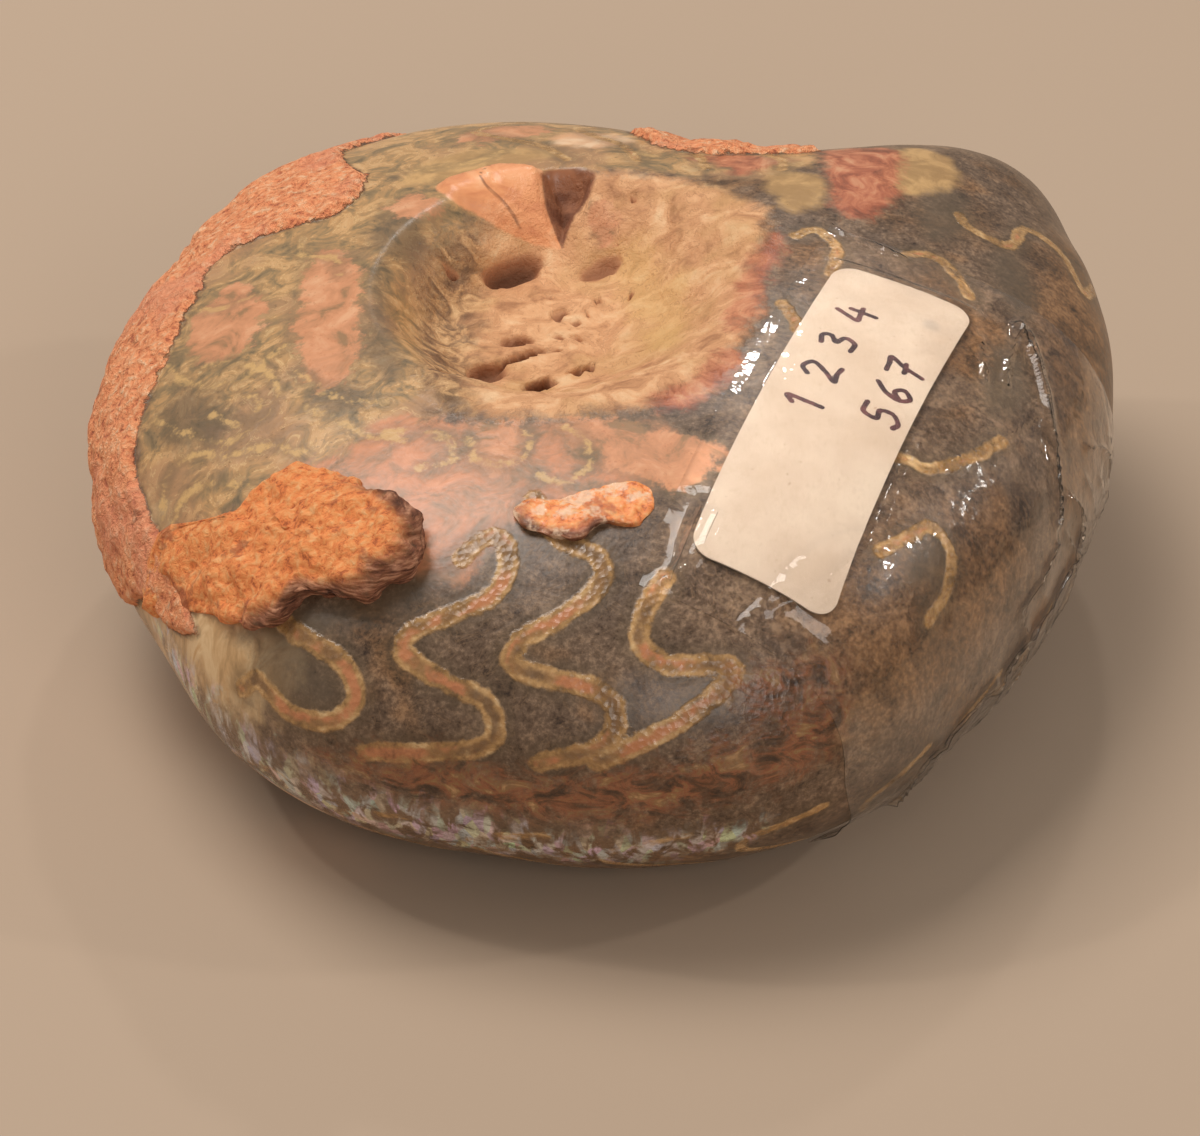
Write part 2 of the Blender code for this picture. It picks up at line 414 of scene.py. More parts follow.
RED = (
    ((43, 62), (53, 52), (55, 44), (48, 43), (41, 50), (34, 55), (30, 60), (34, 63)),
    plan(
        (14.4, 9.2), (12.8, 7), (11, 3), (10.2, -1), (9.4, -4.6), (10.8, -6.4), (12.4, -3),
        (13.2, 1.4), (14.2, 5),
    ),
    plan((9.6, -8.4), (7, -12.4), (3.4, -15.2), (5.6, -16.4), (9, -13.6), (11, -10)),
    ((60, 62), (66, 58), (73, 57), (74, 52), (64, 50), (56, 54)),
)
PINK = (
    plan(
        (-17, -15), (-12, -16.8), (-7, -17.6), (-1, -18), (5, -18.6), (7, -22), (3.6, -25), (-2, -26.2),
        (-5.4, -27.4), (-9, -30), (-12, -32.6), (-16, -30), (-19, -24), (-24, -19.6), (-20, -17.6),
    ),
)
OLIVE = (
    ((205, 18), (214, 33), (222, 48), (228, 58), (226, 70), (190, 76), (140, 72), (112, 66), (88, 64))
    + ((66, 64), (52, 62), (56, 48), (74, 48), (90, 36), (108, 26), (128, 26), (150, 30), (176, 32)),
)
YELLOW = (
    ((41, 54), (46, 47), (47, 40), (42, 38), (36, 43), (35, 50), (38, 54)),
    ((50, 68), (54, 62), (46, 61), (39, 65), (39, 70)),
    plan((0.4, 13), (3.4, 13.4), (5.6, 8), (6.6, 2), (5.8, -4), (3.8, -3), (2.8, 4), (1.4, 8.6)),
    ((128, 55), (118, 51), (104, 54), (98, 58), (108, 60), (122, 60)),
)
PALE = (
    ((86, 52), (92, 55), (99, 52), (95, 46), (87, 46)),
    ((224, -20), (228, -32), (236, -38), (242, -30), (238, -20), (230, -16)),
)
CREAM = (
    ((201, 14), (211, 14), (222, 14), (228, 18), (232, 16), (228, 6), (222, -2), (216, -10), (214, -26))
    + ((210, -40), (200, -42), (192, -30), (192, -14), (198, -4)),
)
NACRE = (
    ((210, 0), (220, 1), (232, -2), (244, -4), (256, -6), (270, -8), (284, -9), (282, -14), (268, -17))
    + ((252, -18), (238, -17), (226, -13), (215, -8)),
)
EMBER = (
    ((240, 3), (250, 5), (262, 6), (274, 8), (286, 12), (291, 16), (295, 9), (288, 2), (272, -2), (254, -3)),
    ((284, 21), (290, 24), (296, 20), (294, 14), (288, 14)),
)
BROWN = (
    ((296, 40), (308, 41), (322, 36), (330, 24), (326, 10), (312, 4), (300, 6), (294, 18), (292, 30)),
    ((2, 36), (14, 38), (24, 30), (28, 16), (20, 2), (4, -4), (350, -2), (342, 10), (350, 24)),
    ((40, 62), (28, 50), (30, 40), (22, 42), (26, 54), (34, 62)),
    ((250, -22), (262, -28), (276, -24), (284, -14), (270, -10), (256, -12)),
)
DARK_CALCITE_AND_LUMP_SHADOW = (
    ((155, 66), (170, 69), (190, 70), (208, 69), (212, 66), (200, 65), (180, 67), (166, 66)),
    ((140, 60), (134, 63), (140, 68), (152, 68), (154, 63)),
    ((192, 30), (197, 33), (202, 39), (200, 45), (193, 44), (187, 38)),
    ((30, 52), (36, 47), (33, 42), (24, 46), (22, 52)),
    ((8, 36), (18, 36), (20, 42), (12, 44), (4, 40)),
    ((309, 31), (315, 31), (315, 25), (310, 24)),
    ((233, 22), (239, 21), (241, 15), (237, 12), (231, 14), (229, 19)),
    ((206, 56), (212, 58), (214, 62), (206, 62), (202, 59)),
    ((340, 40), (352, 45), (356, 40), (348, 34)),
    # The last outline is a painted shadow along the front foot of the big red lump.
    plan(
        (-29, -30.2), (-24.6, -33), (-17.4, -34.2), (-13, -32.6), (-11.9, -29.4), (-14, -31),
        (-20.6, -31.4),
    ),
)
FLAKE = plan(
    (-13.9, 19), (-13.2, 20.6), (-11, 21.5), (-9.4, 22.5), (-7, 22.2), (-5.2, 21.3), (-4.9, 18.5),
    (-4.1, 16.4),
    (-3.7, 14.9), (-5.6, 15.3), (-7.9, 15.9), (-10, 16.4), (-12.4, 16.9),
)
RECESS = plan(
    (-5, 21.2), (-2.4, 21.6), (-0.8, 20.6), (-1.1, 18.6), (-2.4, 17.1), (-3.5, 15.2), (-4.2, 16.4),
    (-4.9, 18.4),
)
CRACKS = (
    plan((-9.4, 21.6), (-10.2, 20), (-9.8, 18.6), (-8.2, 17.4), (-7, 16.2)),
    plan((-4.9, 21.2), (-4.8, 18.4), (-4.0, 16.2), (-3.5, 15.0)),
)
MARKS = {
    "crack": {"lines": [(0.05, places) for places in CRACKS]},
    "suture": {"lines": suture_lines},
    "chamber_line": {"lines": chamber_lines},
    "crust": {"patches": CRUST},
    "hollow": {"patches": (HOLLOW,)},
    "orange": {"patches": ORANGE},
    "red": {"patches": RED},
    "pink": {"patches": PINK},
    "olive": {"patches": OLIVE},
    "yellow": {"patches": YELLOW},
    "pale": {"patches": PALE},
    "cream": {"patches": CREAM},
    "nacre": {"patches": NACRE},
    "ember": {"patches": EMBER},
    "brown": {"patches": BROWN},
    "shade": {"patches": DARK_CALCITE_AND_LUMP_SHADOW},
    "flake": {"patches": (FLAKE,)},
    "recess": {"patches": (RECESS,)},
}
print("kinds of mark:", len(MARKS))

# %% [markdown]
# ## The stone's mesh
#
# One closed skin covers the whole stone. It starts as a UV sphere, because its rings and meridians
# become latitudes and azimuths on the coil. Most rings are spent on the upper flank, where the detail
# is. The hollow, its bubble holes and the raised edge of the crust are real shape. Finer roughness
# comes from Displace modifiers that work only in painted vertex groups.

# %% A sphere that becomes the coil
MERIDIANS = 480
RINGS = 208
UPPER_RING_SHARE = 0.7
UPPER_END = math.radians(105)


def vertex_points(piece):
    points = np.empty(len(piece.data.vertices) * 3)
    piece.data.vertices.foreach_get("co", points)
    return points.reshape(-1, 3)


def set_points(piece, points):
    piece.data.vertices.foreach_set("co", np.ascontiguousarray(points, np.float32).ravel())
    piece.data.update()


bpy.ops.mesh.primitive_uv_sphere_add(segments=MERIDIANS, ring_count=RINGS, radius=1)
stone = bpy.context.object
stone.name = "stone_body"
unit = vertex_points(stone)
stone_azimuth = np.arctan2(unit[:, 1], unit[:, 0])
turned_down = np.arccos(np.clip(unit[:, 2], -1, 1)) / math.pi
stone_latitude = math.pi / 2 - np.interp(turned_down, (0, UPPER_RING_SHARE, 1), (0, UPPER_END, math.pi))
print("stone vertices:", len(unit))

# %% Measure the marks at every vertex
distances = {name: mark_distance(stone_azimuth, stone_latitude, **kind) for name, kind in MARKS.items()}
for name, distance in distances.items():
    attribute = stone.data.attributes.new(name, "FLOAT", "POINT")
    attribute.data.foreach_set("value", distance.astype(np.float32))
print("share of the stone under red crust:", round(float(np.mean(distances["crust"] < 0)), 3))

# %% [markdown]
# ## The hollow at the middle
#
# The rock in the hollow was never polished. Its left wall is steep and is painted darker as shade,
# its right wall runs out gently, and its floor is full of holes, from one deep one to specks. The
# holes are painted darker with depth, to near black: brown rock with painted shade. At the back lies
# a smooth flake with a dark recess beside it, its darkness partly painted shade.

# %% Depth of the hollow and its holes
HOLLOW_MIDDLE = (-3 * MM, 3 * MM)
HOLLOW_RADII = (16.5 * MM, 19 * MM)
HOLLOW_DEPTH = 6.5 * MM
DEEPEST_POINT = (-0.3, 0.1)
FLOOR_SHARE = 0.4

# Each hole is (x, y, half length, half width, turn in degrees, depth), in mm from the coil's axis.
HOLES = (
    (-7.6, 13.2, 2.9, 1.25, 24, 1.4),
    (-0.4, 12.4, 2.0, 1.0, 12, 0.7),
    (-7.2, 2.7, 1.25, 0.8, 5, 1.3),
    (-6.9, 0.0, 2.3, 0.6, 32, 1.7),
    (-5.2, -4.4, 1.3, 1.05, 20, 3.6),
    (-9.6, -1.9, 1.5, 1.7, 60, 1.2),
    (-1.7, -2.4, 1.35, 0.5, 12, 1.6),
    (-3.7, 6.2, 1.0, 0.45, 52, 1.0),
    (-0.6, 8.0, 0.7, 0.4, 70, 0.8),
    (-2.4, 4.9, 0.5, 0.35, 10, 0.7),
    (-3.6, 2.9, 0.75, 0.3, 5, 0.7),
    (-3.8, 0.9, 0.55, 0.35, 40, 0.6),
    (-2.2, 2.4, 0.3, 0.3, 0, 0.6),
    (-1.4, 5.8, 0.3, 0.25, 0, 0.6),
    (2.1, 8.1, 0.5, 0.3, 80, 0.6),
    (-4.6, 9.2, 0.4, 0.3, 30, 0.5),
    (-12.7, 11.4, 0.6, 0.5, 0, 1.2),
    (-12.4, -6.2, 0.9, 0.4, 70, 1.0),
    (6.6, 4.0, 0.3, 0.25, 0, 0.5),
    (3.2, -1.6, 0.3, 0.2, 0, 0.5),
    (2.4, 17.6, 0.35, 0.25, 0, 0.8),
    (-9.2, 19.6, 0.3, 0.25, 0, 0.5),
)
FLAKE_RISE = 0.7 * MM
RECESS_DEPTH = 2.6 * MM


def hollow_depth(x, y):
    """How far the hollow goes down at a place on the upper flank, as in the solid model."""
    u = (x - HOLLOW_MIDDLE[0]) / HOLLOW_RADII[0] - DEEPEST_POINT[0]
    v = (y - HOLLOW_MIDDLE[1]) / HOLLOW_RADII[1] - DEEPEST_POINT[1]
    along = u * DEEPEST_POINT[0] + v * DEEPEST_POINT[1]
    spread = 1 - DEEPEST_POINT[0] ** 2 - DEEPEST_POINT[1] ** 2
    share_to_rim = (along + np.sqrt(along**2 + spread * (u * u + v * v))) / spread
    return HOLLOW_DEPTH * (1 - smooth_step(FLOOR_SHARE, 1, share_to_rim))


def hole_depth(x, y):
    """The depth in mm of the bubble holes, which have steep sides and round floors."""
    depth = np.zeros(len(x))
    for middle_x, middle_y, length, width, turn, deep in HOLES:
        dx = x / MM - middle_x
        dy = y / MM - middle_y
        cosine, sine = math.cos(math.radians(turn)), math.sin(math.radians(turn))
        share = np.hypot((dx * cosine + dy * sine) / length, (dy * cosine - dx * sine) / width)
        depth = np.maximum(depth, deep * (1 - smooth_step(0.55, 1.12, share)))
    return depth


home = coil_points(stone_azimuth, stone_latitude)
upper = stone_latitude > 0
holes = np.where(upper, hole_depth(home[:, 0], home[:, 1]), 0)
cavity = stone.data.attributes.new("cavity", "FLOAT", "POINT")
cavity.data.foreach_set("value", holes.astype(np.float32))
print("deepest hole:", round(float(holes.max()), 1), "mm")

# %% Shape the stone
CRUST_RISE = 0.55 * MM
CRUST_EDGE = 0.55

crust_rise = CRUST_RISE * (1 - smooth_step(-CRUST_EDGE, 0, distances["crust"]))
flake_rise = FLAKE_RISE * (1 - smooth_step(-0.9, 0.1, distances["flake"]))
recess_drop = RECESS_DEPTH * (1 - smooth_step(-1.6, 0.1, distances["recess"]))
stone_points = coil_points(stone_azimuth, stone_latitude, crust_rise + flake_rise)
stone_points[:, 2] -= np.where(upper, hollow_depth(home[:, 0], home[:, 1]) + holes * MM + recess_drop, 0)
set_points(stone, lay_down(stone_points))

# %% Roughness as real shape
GROUP_STEPS = 12


def paint_group(piece, name, weights):
    """A vertex group with these weights, painted in a few even steps."""
    group = piece.vertex_groups.new(name=name)
    steps = np.round(np.clip(weights, 0, 1) * GROUP_STEPS).astype(int)
    for step in range(1, GROUP_STEPS + 1):
        group.add([int(index) for index in np.nonzero(steps == step)[0]], step / GROUP_STEPS, "REPLACE")
    return group


def roughen(piece, group, grain_mm, strength_mm):
    """Moves a group's surface in and out by a procedural texture, for good."""
    texture = bpy.data.textures.new(f"{piece.name} {group}", "CLOUDS")
    texture.noise_scale = grain_mm * MM
    texture.noise_depth = 2
    modifier = piece.modifiers.new(f"rough {group}", "DISPLACE")
    modifier.texture = texture
    modifier.texture_coords = "LOCAL"
    modifier.strength = strength_mm * MM
    modifier.mid_level = 0.5
    if group in piece.vertex_groups:
        modifier.vertex_group = group
    bpy.context.view_layer.objects.active = piece
    bpy.ops.object.modifier_apply(modifier=modifier.name)


clear_of_floor = smooth_step(0.2 * MM, 1.2 * MM, vertex_points(stone)[:, 2])
crust_share = 1 - smooth_step(-0.9, 0, distances["crust"])
hollow_share = 1 - smooth_step(-1.4, 0.3, distances["hollow"])
hollow_share *= smooth_step(0, 0.6, distances["flake"])
paint_group(stone, "crust", crust_share * clear_of_floor)
paint_group(stone, "hollow", hollow_share)
paint_group(stone, "all", clear_of_floor)
roughen(stone, "all", 11, 0.35)
roughen(stone, "crust", 3.2, 1.1)
roughen(stone, "crust", 1.3, 0.35)
roughen(stone, "hollow", 3.8, 0.9)
roughen(stone, "hollow", 1.3, 0.2)
laid = vertex_points(stone)
laid[:, 2] = np.maximum(laid[:, 2], 0)
set_points(stone, laid)
stone.vertex_groups.clear()
bpy.ops.object.shade_smooth()
print("stone top:", round(float(laid[:, 2].max()) / MM, 2), "mm")

# %% [markdown]
# ## A short way to write materials
#
# Every finish here is a tree of nodes with many layers. A small class gives each kind of node one
# short call, so that a layer reads as one line: where it lies, and which colours it mixes. Sizes are
# in millimetres, because the Object coordinates are scaled up first.

# %% Paint helper
class Paint:
    """Adds nodes to one new material. A value is a number, a colour or another node's output."""

    def __init__(self, name):
        self.material = bpy.data.materials.new(name)
        self.material.use_nodes = True
        self.tree = self.material.node_tree
        self.shader = self.tree.nodes["Principled BSDF"]
        coordinates = self.node("TexCoord").outputs["Object"]
        self.place = self.node("VectorMath", {0: coordinates, "Scale": 1 / MM}, operation="SCALE").outputs[0]

    def node(self, kind, values=None, **settings):
        made = self.tree.nodes.new("ShaderNode" + kind)
        for name, value in settings.items():
            setattr(made, name, value)
        for name, value in (values or {}).items():
            self.put(made.inputs[name], value)
        return made

    def put(self, socket, value):
        if isinstance(value, bpy.types.NodeSocket):
            self.tree.links.new(value, socket)
        else:
            socket.default_value = value

    def noise(self, size, detail=4.0, rough=0.55, twist=0.0, place=None):
        """Soft random values from 0 to 1, mostly near a half, with blobs of about this size."""
        values = {"Vector": place or self.place, "Scale": 1 / size, "Detail": detail}
        values |= {"Roughness": rough, "Distortion": twist}
        return self.node("TexNoise", values).outputs[0]

    def moved(self, x, y, z, stretch=(1, 1, 1)):
        """The place shifted, so that two textures of one size don't match, and stretched."""
        values = {"Vector": self.place, "Location": (x, y, z), "Scale": stretch}
        return self.node("Mapping", values).outputs[0]

    def cells(self, size, output="Distance", place=None):
        """Random cells of about this size: the distance from each one's middle, or its own colour."""
        values = {"Vector": place or self.place, "Scale": 1 / size}
        return self.node("TexVoronoi", values).outputs[output]

    def math(self, operation, first, second=0.0):
        return self.node("Math", {0: first, 1: second}, operation=operation).outputs[0]

    def band(self, value, low, high):
        """0 below low and 1 above high, with a smooth step between; low may be the higher one."""
        values = {"Value": value, "From Min": low, "From Max": high}
        return self.node("MapRange", values, interpolation_type="SMOOTHSTEP").outputs[0]

    def ramp(self, value, *stops):
        made = self.node("ValToRGB", {0: value})
        ramp = made.color_ramp
        while len(ramp.elements) < len(stops):
            ramp.elements.new(0.5)
        for element, (position, colour) in zip(ramp.elements, stops):
            element.position = position
            element.color = colour
        return made.outputs[0]

    def mix(self, share, under, over):
        values = {"Factor": share, "A": under, "B": over}
        made = self.node("Mix", data_type="RGBA")
        for socket in made.inputs:
            if socket.name in values and socket.type == ("VALUE" if socket.name == "Factor" else "RGBA"):
                self.put(socket, values[socket.name])
        return made.outputs[2]

    def between(self, share, low, high):
        """A number that goes from low to high as the share goes from 0 to 1."""
        return self.node("MapRange", {"Value": share, "To Min": low, "To Max": high}).outputs[0]

    def mark(self, name):
        return self.node("Attribute", attribute_name=name).outputs["Fac"]

    def finish(self, colour, roughness, height, **plain):
        """Connects colour, roughness and relief. Height is in millimetres."""
        self.put(self.shader.inputs["Base Color"], colour)
        self.put(self.shader.inputs["Roughness"], roughness)
        bump = self.node("Bump", {"Strength": 1.0, "Distance": MM, "Height": height})
        self.put(self.shader.inputs["Normal"], bump.outputs[0])
        for name, value in plain.items():
            self.shader.inputs[name.replace("_", " ")].default_value = value
        return self.material


# %% [markdown]
# ## The stone's finish
#
# The layers go on as they lie in the rock. First the dark chamber fill with its fine salt-and-pepper
# grain, then olive and cream calcite, then pink and orange mud with thin dark halos, the golden
# sutures, the red mottling and mother-of-pearl of the front edge, and last the unpolished rock. A
# noise is added to every distance before its edge is cut, so that no edge is a clean curve.

# %% Stone material
def stone_finish():
    p = Paint("polished ammonite stone")
    wobble = p.math("SUBTRACT", p.noise(1.7, 4, 0.62), 0.5)
    broad = p.noise(9, 3, 0.55, place=p.moved(3, 17, 5))
    clouds = p.noise(3.2, 4, 0.62, 0.7)
    streaks = p.noise(2.8, 4, 0.64, 1.1, place=p.moved(11, 2, 7))
    grain = p.noise(0.45, 3, 0.72)
    ragged = p.math("ADD", wobble, p.math("MULTIPLY", p.math("SUBTRACT", grain, 0.5), 0.35))

    def edge(name, amount=1.6, soft=0.25, shift=0.0):
        """1 inside a mark and 0 outside, with a ragged edge."""
        moved = p.math("ADD", p.mark(name), p.math("MULTIPLY", ragged, amount))
        return p.band(p.math("ADD", moved, shift), soft, -soft)

    def thread(value, middle, width):
        """1 on thin lines where a value crosses its middle, and 0 elsewhere."""
        return p.band(p.math("ABSOLUTE", p.math("SUBTRACT", value, middle)), width, width * 0.2)

    # Dark chamber fill, salt and pepper.
    salt = p.math("ADD", p.math("MULTIPLY", clouds, 0.5), p.math("MULTIPLY", grain, 0.5))
    dark = p.ramp(
        salt,
        (0.34, srgb(48, 34, 26)), (0.43, srgb(88, 67, 50)), (0.52, srgb(112, 89, 70)),
        (0.62, srgb(150, 122, 97)),
    )
    browner = p.ramp(
        salt,
        (0.34, srgb(50, 32, 18)), (0.44, srgb(92, 64, 38)), (0.54, srgb(132, 92, 56)),
        (0.64, srgb(170, 124, 80)),
    )
    brown_share = p.math("MAXIMUM", edge("brown", 8, 3), p.band(broad, 0.54, 0.66))
    colour = p.mix(p.math("MULTIPLY", brown_share, 0.8), dark, browner)
    colour = p.mix(p.math("MULTIPLY", thread(streaks, 0.5, 0.018), 0.2), colour, srgb(176, 140, 104))

    # Olive and golden calcite of the left and the back, in wisps and threads.
    olive = p.ramp(
        streaks,
        (0.3, srgb(112, 96, 70)), (0.42, srgb(154, 126, 88)), (0.52, srgb(192, 148, 98)),
        (0.62, srgb(210, 164, 112)), (0.76, srgb(222, 186, 136)),
    )
    olive = p.mix(p.math("MULTIPLY", p.band(broad, 0.48, 0.64), 0.7), olive, srgb(176, 132, 96))
    olive = p.mix(p.math("MULTIPLY", p.band(grain, 0.42, 0.3), 0.45), olive, srgb(110, 90, 62))
    olive = p.mix(p.math("MULTIPLY", thread(streaks, 0.56, 0.014), 0.4), olive, srgb(238, 204, 148))
    colour = p.mix(edge("olive", 6, 1.4), colour, olive)
    cream = p.ramp(
        p.noise(2.6, 4, 0.6, 1.4, place=p.moved(2, 5, 1, (1, 1, 0.4))),
        (0.3, srgb(168, 134, 92)), (0.45, srgb(204, 164, 116)), (0.6, srgb(226, 192, 146)),
        (0.75, srgb(198, 152, 98)),
    )
    colour = p.mix(edge("cream", 7, 2.4, -2.2), colour, cream)

    # Pink mud, with grey-green clouds in it.
    pink = p.ramp(
        clouds,
        (0.34, srgb(140, 110, 80)), (0.43, srgb(176, 128, 94)), (0.54, srgb(206, 138, 98)),
        (0.66, srgb(222, 150, 108)),
    )
    colour = p.mix(edge("pink", 5, 0.9), colour, pink)

    # Darker patches of deeper, clearer calcite, and a painted shadow along the front foot of the big lump.
    colour = p.mix(p.math("MULTIPLY", edge("shade", 3.5, 1.3), 0.7), colour, srgb(98, 82, 64))

    # Green-yellow and pale chambers, with a thin light edge.
    for name, low, high in (
        ("yellow", srgb(182, 142, 92), srgb(216, 172, 114)),
        ("pale", srgb(232, 176, 132), srgb(248, 210, 172)),
    ):
        tone = p.mix(p.band(clouds, 0.38, 0.62), low, high)
        colour = p.mix(p.math("MULTIPLY", edge(name, 2, 0.7), 0.85), colour, tone)

    # Orange mud: a dark halo outside its edge, mottled inside.
    halo = p.math("MULTIPLY", edge("orange", 4.5, 1.2, -0.8), 0.5)
    colour = p.mix(halo, colour, srgb(126, 104, 76))
    orange = p.ramp(
        clouds,
        (0.34, srgb(158, 120, 84)), (0.44, srgb(198, 138, 98)), (0.56, srgb(216, 150, 108)),
        (0.72, srgb(228, 172, 130)),
    )
    orange = p.mix(p.math("MULTIPLY", p.band(grain, 0.44, 0.32), 0.4), orange, srgb(184, 118, 84))
    orange_share = edge("orange", 4.5, 0.45)
    colour = p.mix(orange_share, colour, orange)

    # Deep red, glassy, with paler veins.
    red = p.ramp(
        streaks,
        (0.32, srgb(132, 72, 50)), (0.46, srgb(180, 102, 72)), (0.56, srgb(208, 130, 94)),
        (0.7, srgb(226, 164, 124)),
    )
    red_share = edge("red", 3.4, 0.8)
    colour = p.mix(p.math("MULTIPLY", red_share, 0.9), colour, red)

    # Thin pale lines round the chambers.
    fine_wobble = p.math("SUBTRACT", p.noise(0.8, 3, 0.6, place=p.moved(9, 4, 2)), 0.5)
    line_distance = p.math("ADD", p.mark("chamber_line"), p.math("MULTIPLY", ragged, 2.2))
    colour = p.mix(p.math("MULTIPLY", p.band(line_distance, 1.1, 0.2), 0.35), colour, srgb(110, 92, 66))
    line_share = p.math("MULTIPLY", p.band(line_distance, 0.25, -0.2), p.band(streaks, 0.36, 0.56))
    colour = p.mix(p.math("MULTIPLY", line_share, 0.8), colour, srgb(214, 172, 112))

    # Sutures: a soft olive halo, golden rims, and a middle that is tan or salmon.
    suture_distance = p.math("ADD", p.mark("suture"), p.math("MULTIPLY", fine_wobble, 0.5))
    suture_distance = p.math("ADD", suture_distance, p.math("MULTIPLY", wobble, 0.7))
    suture_middle = p.ramp(
        p.noise(4, 3, 0.6, place=p.moved(5, 1, 2)),
        (0.36, srgb(112, 84, 58)), (0.48, srgb(150, 110, 70)), (0.56, srgb(196, 126, 86)),
    )
    suture_rim = p.ramp(
        p.math("ADD", p.math("MULTIPLY", streaks, 0.8), p.math("MULTIPLY", grain, 0.2)),
        (0.36, srgb(120, 90, 56)), (0.46, srgb(164, 124, 76)), (0.56, srgb(196, 152, 100)),
        (0.7, srgb(232, 196, 144)),
    )
    colour = p.mix(p.math("MULTIPLY", p.band(suture_distance, 1.5, 0.1), 0.4), colour, srgb(96, 78, 56))
    suture_share = p.band(suture_distance, 0.2, -0.12)
    colour = p.mix(p.math("MULTIPLY", suture_share, 0.92), colour, suture_rim)
    colour = p.mix(p.math("MULTIPLY", p.band(suture_distance, -0.2, -0.6), 0.85), colour, suture_middle)

    # The front edge: red-brown mottling, then mother-of-pearl.
    mottle = p.noise(2.0, 4, 0.68, 1.0, place=p.moved(1, 9, 4, (0.6, 1, 1)))
    ember = p.ramp(
        mottle,
        (0.36, srgb(52, 32, 20)), (0.45, srgb(104, 66, 40)), (0.53, srgb(152, 92, 60)),
        (0.6, srgb(150, 112, 70)), (0.7, srgb(208, 160, 112)),
    )
    ember_share = p.math("MULTIPLY", edge("ember", 9, 2.2), 0.85)
    colour = p.mix(ember_share, colour, ember)
    fibres = p.moved(0, 0, 0, (0.8, 0.8, 0.3))
    tint = p.cells(0.7, "Color", place=fibres)
    tint = p.node("HueSaturation", {"Color": tint, "Saturation": 0.6, "Value": 1.1}).outputs[0]
    pearl = p.mix(0.4, srgb(220, 202, 182), tint)
    pearl = p.mix(p.band(p.noise(1.1, 3, 0.6, 0.5, place=fibres), 0.58, 0.4), pearl, srgb(128, 100, 76))
    nacre_share = p.math("MULTIPLY", edge("nacre", 8, 2.4), p.band(mottle, 0.3, 0.52))
    colour = p.mix(nacre_share, colour, pearl)

    # Unpolished rock: the hollow.
    sand = p.noise(2.6, 4, 0.62, 0.6, place=p.moved(8, 8, 8))
    floor_tone = p.ramp(
        sand,
        (0.32, srgb(178, 124, 84)), (0.44, srgb(212, 154, 108)), (0.56, srgb(230, 174, 126)),
        (0.7, srgb(242, 198, 152)),
    )
    floor_tone = p.mix(p.math("MULTIPLY", p.band(broad, 0.46, 0.62), 0.5), floor_tone, srgb(206, 160, 104))
    floor_tone = p.mix(p.math("MULTIPLY", edge("yellow", 3, 1.3), 0.5), floor_tone, srgb(222, 178, 110))
    # The steep left wall gets dark brown streaks and is painted darker overall: its streaky rock, with
    # painted shade on a wall turned from the light.
    x_place = p.node("SeparateXYZ", {0: p.place}).outputs[0]
    leftwards = p.math("ADD", x_place, p.math("MULTIPLY", wobble, 5))
    left_wall_with_shade = p.math("MULTIPLY", p.band(leftwards, -8.5, -13), 0.8)
    wall_streak = p.noise(1.8, 4, 0.62, 1.2, place=p.moved(5, 5, 5, (1, 1, 0.35)))
    wall_tone_with_shade = p.ramp(
        wall_streak,
        (0.38, srgb(70, 50, 34)), (0.47, srgb(128, 98, 66)), (0.56, srgb(184, 142, 96)),
        (0.68, srgb(220, 180, 130)),
    )
    floor_tone = p.mix(left_wall_with_shade, floor_tone, wall_tone_with_shade)
    floor_tone = p.mix(p.math("MULTIPLY", red_share, 0.75), floor_tone, red)
    floor_tone = p.mix(orange_share, floor_tone, orange)
    floor_tone = p.mix(p.math("MULTIPLY", thread(sand, 0.5, 0.012), 0.35), floor_tone, srgb(150, 96, 60))
    # Holes are painted darker with depth, to near black in the deepest: their brown rock, with painted
    # shade.
    hole_tone_and_shade = p.ramp(
        p.math("MULTIPLY", p.mark("cavity"), 0.3),
        (0.02, srgb(206, 148, 104)), (0.2, srgb(160, 104, 68)), (0.5, srgb(104, 64, 40)),
        (0.85, srgb(24, 12, 8)),
    )
    floor_tone = p.mix(p.band(p.mark("cavity"), 0.02, 0.4), floor_tone, hole_tone_and_shade)
    hollow_share = edge("hollow", 3.4, 1.1)
    colour = p.mix(hollow_share, colour, floor_tone)
    flake_tone = p.ramp(
        clouds, (0.36, srgb(224, 146, 100)), (0.5, srgb(242, 166, 114)), (0.66, srgb(250, 186, 138))
    )
    flake_share = edge("flake", 0.5, 0.15)
    colour = p.mix(flake_share, colour, flake_tone)
    crack = p.math("MULTIPLY", p.band(p.mark("crack"), 0.16, 0.0), 0.75)
    colour = p.mix(crack, colour, srgb(132, 84, 58))
    # The recess is painted a darker brown than the flake: its broken rock, with painted shade.
    recess_tone_with_shade = p.mix(p.band(clouds, 0.36, 0.64), srgb(128, 78, 52), srgb(168, 110, 76))
    colour = p.mix(edge("recess", 0.4, 0.2), colour, recess_tone_with_shade)

    # Red crust: granular and salmon, with pits, and a dark line along its edge: a crack, with painted shade
    # where the crust steps up.
    crust_grain = p.noise(0.8, 4, 0.7, 0.3, place=p.moved(3, 3, 3))
    crust = p.ramp(
        crust_grain,
        (0.34, srgb(190, 104, 70)), (0.43, srgb(242, 148, 98)), (0.54, srgb(254, 172, 120)),
        (0.7, srgb(255, 208, 166)),
    )
    crust = p.mix(p.math("MULTIPLY", p.band(broad, 0.48, 0.62), 0.5), crust, srgb(236, 150, 116))
    crust = p.mix(p.math("MULTIPLY", p.band(clouds, 0.38, 0.3), 0.6), crust, srgb(136, 74, 50))
    # A dark line along the crust's edge: a crack, with painted shade where the crust steps up.
    gap = p.math("MULTIPLY", edge("crust", 1.6, 0.35, -0.3), p.band(clouds, 0.42, 0.56))
    colour = p.mix(p.math("MULTIPLY", gap, 0.85), colour, srgb(74, 54, 40))
    crust_share = edge("crust", 1.6, 0.14)
    colour = p.mix(crust_share, colour, crust)

